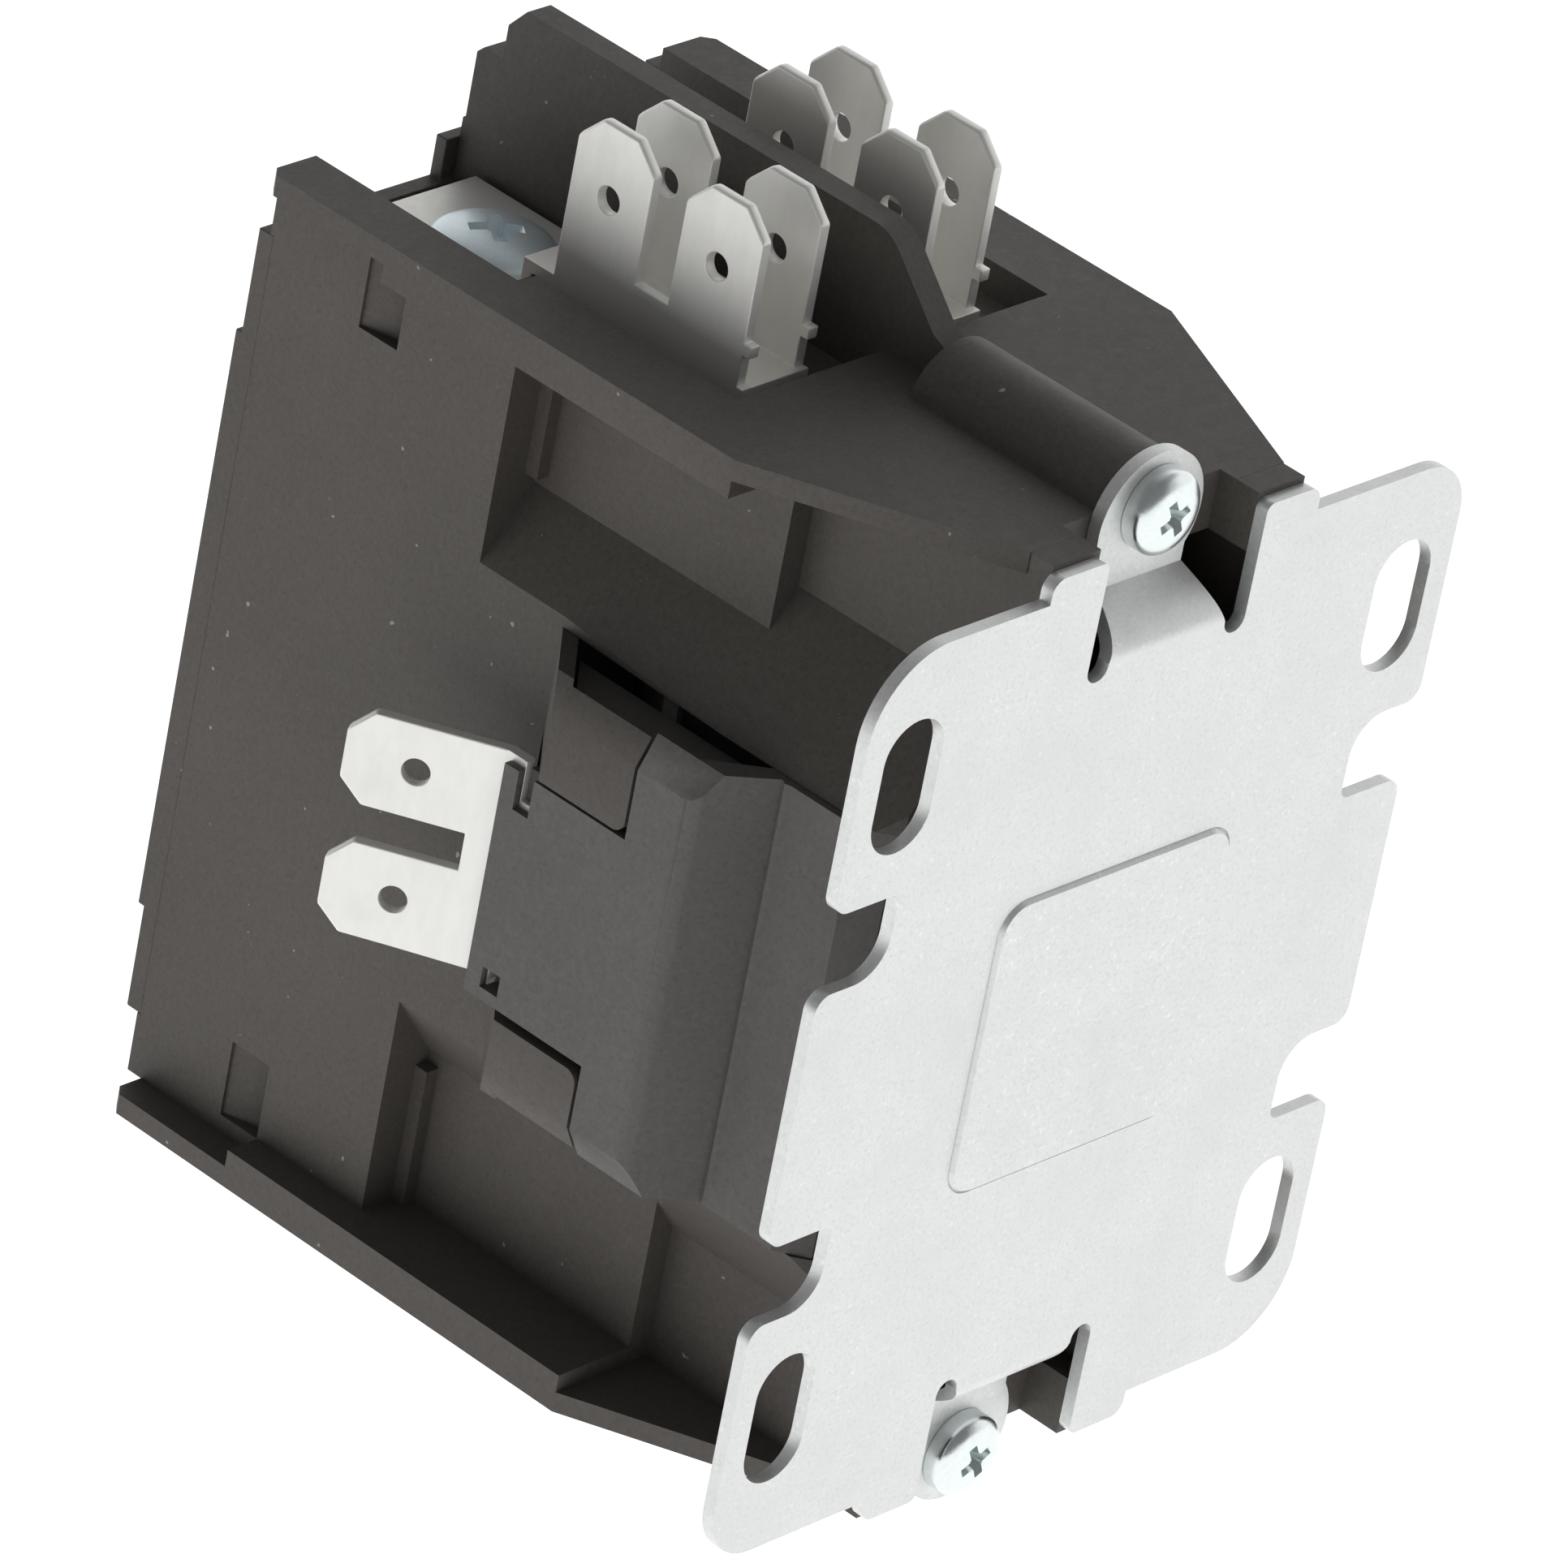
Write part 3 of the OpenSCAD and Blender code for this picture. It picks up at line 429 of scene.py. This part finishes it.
def cross_recess(reach, half, depth, top):
    """The cutter for a cross recess: four wings that taper to a point below. Its rings are a
    flared mouth above the head, the recess's own outline just inside it, and the lower end."""
    mesh = bmesh.new()
    rings = []
    for share, height in ((1.12, top + 0.15 * MM), (1.0, top - 0.05 * MM), (0.42, top - 0.8 * depth)):
        long, wide = reach * share, half * (0.4 + 0.6 * share)
        corner = 1.35 * wide
        quarter = [(long, -wide), (long, wide), (corner, wide), (corner, corner), (wide, corner)]
        ring = []
        for turn in range(4):
            spin = Matrix.Rotation(turn * math.pi / 2, 2)
            ring += [mesh.verts.new((*(spin @ Vector(point)), height)) for point in quarter]
        rings.append(ring)
    rings.append([mesh.verts.new((0, 0, top - depth))])
    ring_skin(mesh, rings)
    mesh.faces.new(rings[0])
    bmesh.ops.recalc_face_normals(mesh, faces=mesh.faces)
    return mesh


def threaded_shank(radius, length, pitch):
    """A shank from just inside the head down to -length, with a helical thread that runs out at
    both ends, and a point."""
    mesh = bmesh.new()
    segments, steps = 36, 6
    rows = int(length / pitch * steps)
    depth = 0.3 * pitch
    inside_head = 0.1 * MM
    rings = [[mesh.verts.new((0, 0, inside_head))]]
    for row in range(rows + 1):
        z = -length * row / rows
        ring = []
        for i in range(segments):
            turn = i / segments
            phase = (z / pitch - turn) % 1.0
            crest = 1 - abs(2 * phase - 1)
            fade = min(1.0, row / steps, (rows - row) / steps)
            r = radius - depth * (1 - crest * fade)
            ring.append(mesh.verts.new((r * math.cos(2 * math.pi * turn),
                                        r * math.sin(2 * math.pi * turn),
                                        inside_head if row == 0 else z)))
        rings.append(ring)
    rings.append([mesh.verts.new((0, 0, -length - 0.6 * radius))])
    ring_skin(mesh, rings)
    bmesh.ops.recalc_face_normals(mesh, faces=mesh.faces)
    return mesh


def screws(node, spots, head, side, dome, shank, pitch=0.7):
    """All the node's screws as one piece. A spot is (seat, way out of the head, spin, length)."""
    mesh = bmesh.new()
    for seat, outward, spin, length in spots:
        turn = Vector(outward).to_track_quat("Z", "X").to_matrix().to_4x4()
        place = Matrix.Translation(seat) @ turn @ Matrix.Rotation(math.radians(spin), 4, "Z")
        merged(mesh, pan_head(head[0] * MM, head[1] * MM, side * MM, dome), place)
        merged(mesh, threaded_shank(shank * MM, length * MM, pitch * MM), place)
    return finish_piece(new_object(f"{node}_detailed", mesh), node, sharp_angle=32)


# ---------------------------------------------------------------- coil and springs

def wound_coil(node, hole, wire=0.4, corner=4.0):
    """A winding whose outside shows every turn of its last layer, round a square hole."""
    low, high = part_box(node)
    rows = round((high.y - low.y) / (wire * MM))
    rise = (high.y - low.y) / rows
    arc_steps = 4
    section = [(-rise / 2, low.y)]
    for row in range(rows):
        for k in range(1, arc_steps + 1):
            turn = math.pi * k / arc_steps
            section.append((rise / 2 * math.sin(turn) - rise / 2,
                            low.y + rise * (row + (1 - math.cos(turn)) / 2)))

    def track(half_x, half_z, radius):
        """A rounded rectangle, as far round as one turn of the wire."""
        places = []
        for quarter, (sx, sz) in enumerate(((1, 1), (-1, 1), (-1, -1), (1, -1))):
            for degrees in range(0, 91, 15):
                turn = math.radians(90 * quarter + degrees)
                places.append(Vector((sx * (half_x - radius) + radius * math.cos(turn), 0,
                                      sz * (half_z - radius) + radius * math.sin(turn))))
        return places

    outer = track(high.x, high.z, corner * MM)
    inner = track(hole[0] * MM, hole[1] * MM, 0.4 * MM)
    mesh = bmesh.new()
    rings = []
    for out_place, in_place in zip(outer, inner):
        way = (out_place - in_place).normalized()
        ring = [mesh.verts.new(out_place + way * depth + Vector((0, y, 0))) for depth, y in section]
        ring += [mesh.verts.new(in_place + Vector((0, y, 0))) for y in (high.y, low.y)]
        rings.append(ring)
    ring_skin(mesh, rings, closed=True)
    bmesh.ops.recalc_face_normals(mesh, faces=mesh.faces)
    return finish_piece(new_object(f"{node}_detailed", mesh), node, sharp_angle=60)


def helix(centre_x, y0, y1, radius, wire, turns):
    """A compression spring along Y with closed end turns, swept as one closed skin."""
    mesh = bmesh.new()
    sides, steps = 12, 30
    closed = 0.7    # of a turn, at each end
    count = int(turns * steps)
    free = (y1 - y0) - wire * (1 + 2 * closed)
    rings = []
    for i in range(count + 1):
        turn = turns * i / count
        dead = min(turn, closed) + max(0.0, turn - (turns - closed))
        live = min(max(turn - closed, 0.0), turns - 2 * closed) / (turns - 2 * closed)
        y = y0 + wire / 2 + dead * wire + free * live
        a = 2 * math.pi * turn
        ring = []
        for k in range(sides):
            b = 2 * math.pi * k / sides
            r = radius + wire / 2 * math.cos(b)
            ring.append(mesh.verts.new((centre_x + r * math.cos(a), y + wire / 2 * math.sin(b),
                                        r * math.sin(a))))
        rings.append(ring)
    ring_skin(mesh, rings)
    mesh.faces.new(rings[0])
    mesh.faces.new(rings[-1])
    bmesh.ops.recalc_face_normals(mesh, faces=mesh.faces)
    return mesh


def springs(node, centres, radius, wire, turns):
    """The node's springs as one piece, on its node's body."""
    low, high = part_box(node)
    mesh = bmesh.new()
    for centre in centres:
        spring = helix(centre, low.y, high.y, radius * MM, wire * MM, turns)
        merged(mesh, spring, Matrix.Identity(4))
    piece = finish_piece(new_object(f"{node}_detailed", mesh), node, sharp_angle=60)
    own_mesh(piece)
    return piece


# ---------------------------------------------------------------- the object

def build_pieces():
    tip_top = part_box("quick_connect_right")[1].z
    coil_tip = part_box("coil_terminal_right")[0].y
    blades = coined_tips(2, 1, tip_top - 1.8 * MM)
    coil_blades = coined_tips(1, -1, coil_tip + 1.6 * MM)
    rounded("mounting_plate", 0.12)
    rounded("housing", 0.16)
    rounded("front_cover", 0.2)
    rounded("coil_bobbin", 0.16)
    for side in ("left", "right"):
        rounded(f"quick_connect_{side}", 0.24, weight_of=blades)
        rounded(f"coil_terminal_{side}", 0.24, weight_of=coil_blades)
        rounded(f"line_bar_{side}", 0.12)
        rounded(f"load_bar_{side}", 0.12)
        rounded(f"contact_bridge_{side}", 0.25, segments=3)
        rounded(f"bridge_tips_{side}", 0.3, segments=4)
    rounded("fixed_tips", 0.3, segments=4)
    rounded("contact_carrier", 0.2)
    rounded("core_rivets", 0.3, segments=3)
    rounded("armature_rivets", 0.25, segments=3)
    rounded("armature_pin", 0.25, segments=2)
    rounded("shading_rings", 0.15, segments=3)
    rounded("coil_wrap", 0.1)
    rounded("core_pad", 0.2, segments=3)
    rounded("coil_leads", 0.05)
    laminated_stack("magnet_core")
    laminated_stack("armature")
    wound_coil("coil_winding", hole=(9.55, 6.15))


def build_screws():
    low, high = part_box("plate_screws")
    head_h = 1.9
    radius = (high.x - low.x) / 2
    seat_y = high.y - head_h * MM
    seat_z = high.z - radius
    spots = [(Vector((0, seat_y, sign * seat_z)), (0, 1, 0), 25, 10.5) for sign in (1, -1)]
    screws("plate_screws", spots, head=(radius / MM, head_h), side=1.0, dome=0.62, shank=1.75)

    low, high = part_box("terminal_screws")
    head_h = 1.8
    radius = (high.y - low.y) / 2
    x, y = high.x - radius, (high.y + low.y) / 2
    line_end, load_end = high.z - head_h * MM, low.z + head_h * MM
    spots = []
    for sign in (1, -1):
        spots.append((Vector((sign * x, y, line_end)), (0, 0, 1), 20 + 35 * sign, 7))
        spots.append((Vector((sign * x, y, load_end)), (0, 0, -1), 50 + 20 * sign, 6.2))
    screws("terminal_screws", spots, head=(radius / MM, head_h), side=0.4, dome=0.95, shank=2)


def build_springs():
    radius, wire = 1.7, 0.45
    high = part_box("return_springs")[1]
    spring_x = high.x - (radius + wire / 2) * MM
    springs("return_springs", (-spring_x, spring_x), radius, wire, 6)
    for side in ("left", "right"):
        node = f"contact_spring_{side}"
        low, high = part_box(node)
        springs(node, ((low.x + high.x) / 2,), 2.4, 0.5, 3.5)


# ---------------------------------------------------------------- stage

AIM = Vector((0.00915, -0.01885, 0.00849))
DISTANCE = 0.788
AZIMUTH = 128.72            # degrees from -Y towards +X
ELEVATION = 29.25
ROLL = 11.18
LENS = 303.9
FLOOR_SIZE = 8
FLOOR_DROP = 0.06           # from the object's lowest point
FLOOR_GLOW = 1.12
ROOM = 0.18                 # light from every side
BACKDROP = 0.9              # light from the backdrop's middle
BACKDROP_WAY = Vector((-1, -0.35, 0)).normalized()
BACKDROP_SIDE = (-0.1, 0.6, 0.0, BACKDROP)      # from, to: share of BACKDROP_WAY; light
BACKDROP_TOP = (0.5, 0.85, 1.0, 0.25)           # from, to: height; how much of it is left


def place_camera():
    """Camera round AIM at AZIMUTH and ELEVATION, turned by ROLL."""
    azimuth = math.radians(AZIMUTH)
    elevation = math.radians(ELEVATION)
    outward = Vector((math.sin(azimuth) * math.cos(elevation),
                      -math.cos(azimuth) * math.cos(elevation), math.sin(elevation)))
    data = bpy.data.cameras.new("camera")
    data.lens = LENS
    data.sensor_width = 36
    data.clip_end = 20
    camera = bpy.data.objects.new("camera", data)
    upright = (-outward).to_track_quat("-Z", "Y").to_matrix()
    turn = upright @ Matrix.Rotation(math.radians(ROLL), 3, "Z")
    camera.matrix_world = Matrix.Translation(AIM + DISTANCE * outward) @ turn.to_4x4()
    bpy.context.scene.collection.objects.link(camera)
    bpy.context.scene.camera = camera


def pale_room():
    """Dim surroundings with a wide white backdrop on the object's far side."""
    world = bpy.data.worlds.new("pale_room")
    world.use_nodes = True
    tree = world.node_tree

    def step(kind, *sources, **settings):
        made = tree.nodes.new(kind)
        for key, value in settings.items():
            setattr(made, key, value)
        for i, source in enumerate(sources):
            tree.links.new(source, made.inputs[i])
        return made

    place = step("ShaderNodeTexCoord")
    facing = step("ShaderNodeVectorMath", place.outputs["Generated"], operation="DOT_PRODUCT")
    facing.inputs[1].default_value = BACKDROP_WAY
    height = step("ShaderNodeSeparateXYZ", place.outputs["Generated"])
    side = step("ShaderNodeMapRange", facing.outputs["Value"], interpolation_type="SMOOTHSTEP")
    top = step("ShaderNodeMapRange", height.outputs["Z"], interpolation_type="SMOOTHSTEP")
    for made, numbers in ((side, BACKDROP_SIDE), (top, BACKDROP_TOP)):
        for key, number in zip(("From Min", "From Max", "To Min", "To Max"), numbers):
            made.inputs[key].default_value = number
    lobe = step("ShaderNodeMath", side.outputs["Result"], top.outputs["Result"], operation="MULTIPLY")
    total = step("ShaderNodeMath", lobe.outputs["Value"], operation="ADD")
    total.inputs[1].default_value = ROOM
    tree.nodes["Background"].inputs["Color"].default_value = (1, 1, 1, 1)
    tree.links.new(total.outputs["Value"], tree.nodes["Background"].inputs["Strength"])
    bpy.context.scene.world = world


def place_stage():
    """White glowing floor well below the object, and the room."""
    bpy.ops.mesh.primitive_plane_add(size=FLOOR_SIZE, location=(0, 0, cad_low[2] - FLOOR_DROP))
    floor = bpy.context.object
    floor.name = "floor"
    paint = Paint("pale_floor", (0.3, 0.3, 0.3), 0.9, specular=0.1)
    paint.shader.inputs["Emission Color"].default_value = (1, 1, 1, 1)
    paint.shader.inputs["Emission Strength"].default_value = FLOOR_GLOW
    floor.data.materials.append(paint.material)
    pale_room()


bpy.context.scene.view_settings.view_transform = "Standard"
build_pieces()
build_screws()
build_springs()
place_camera()
place_stage()
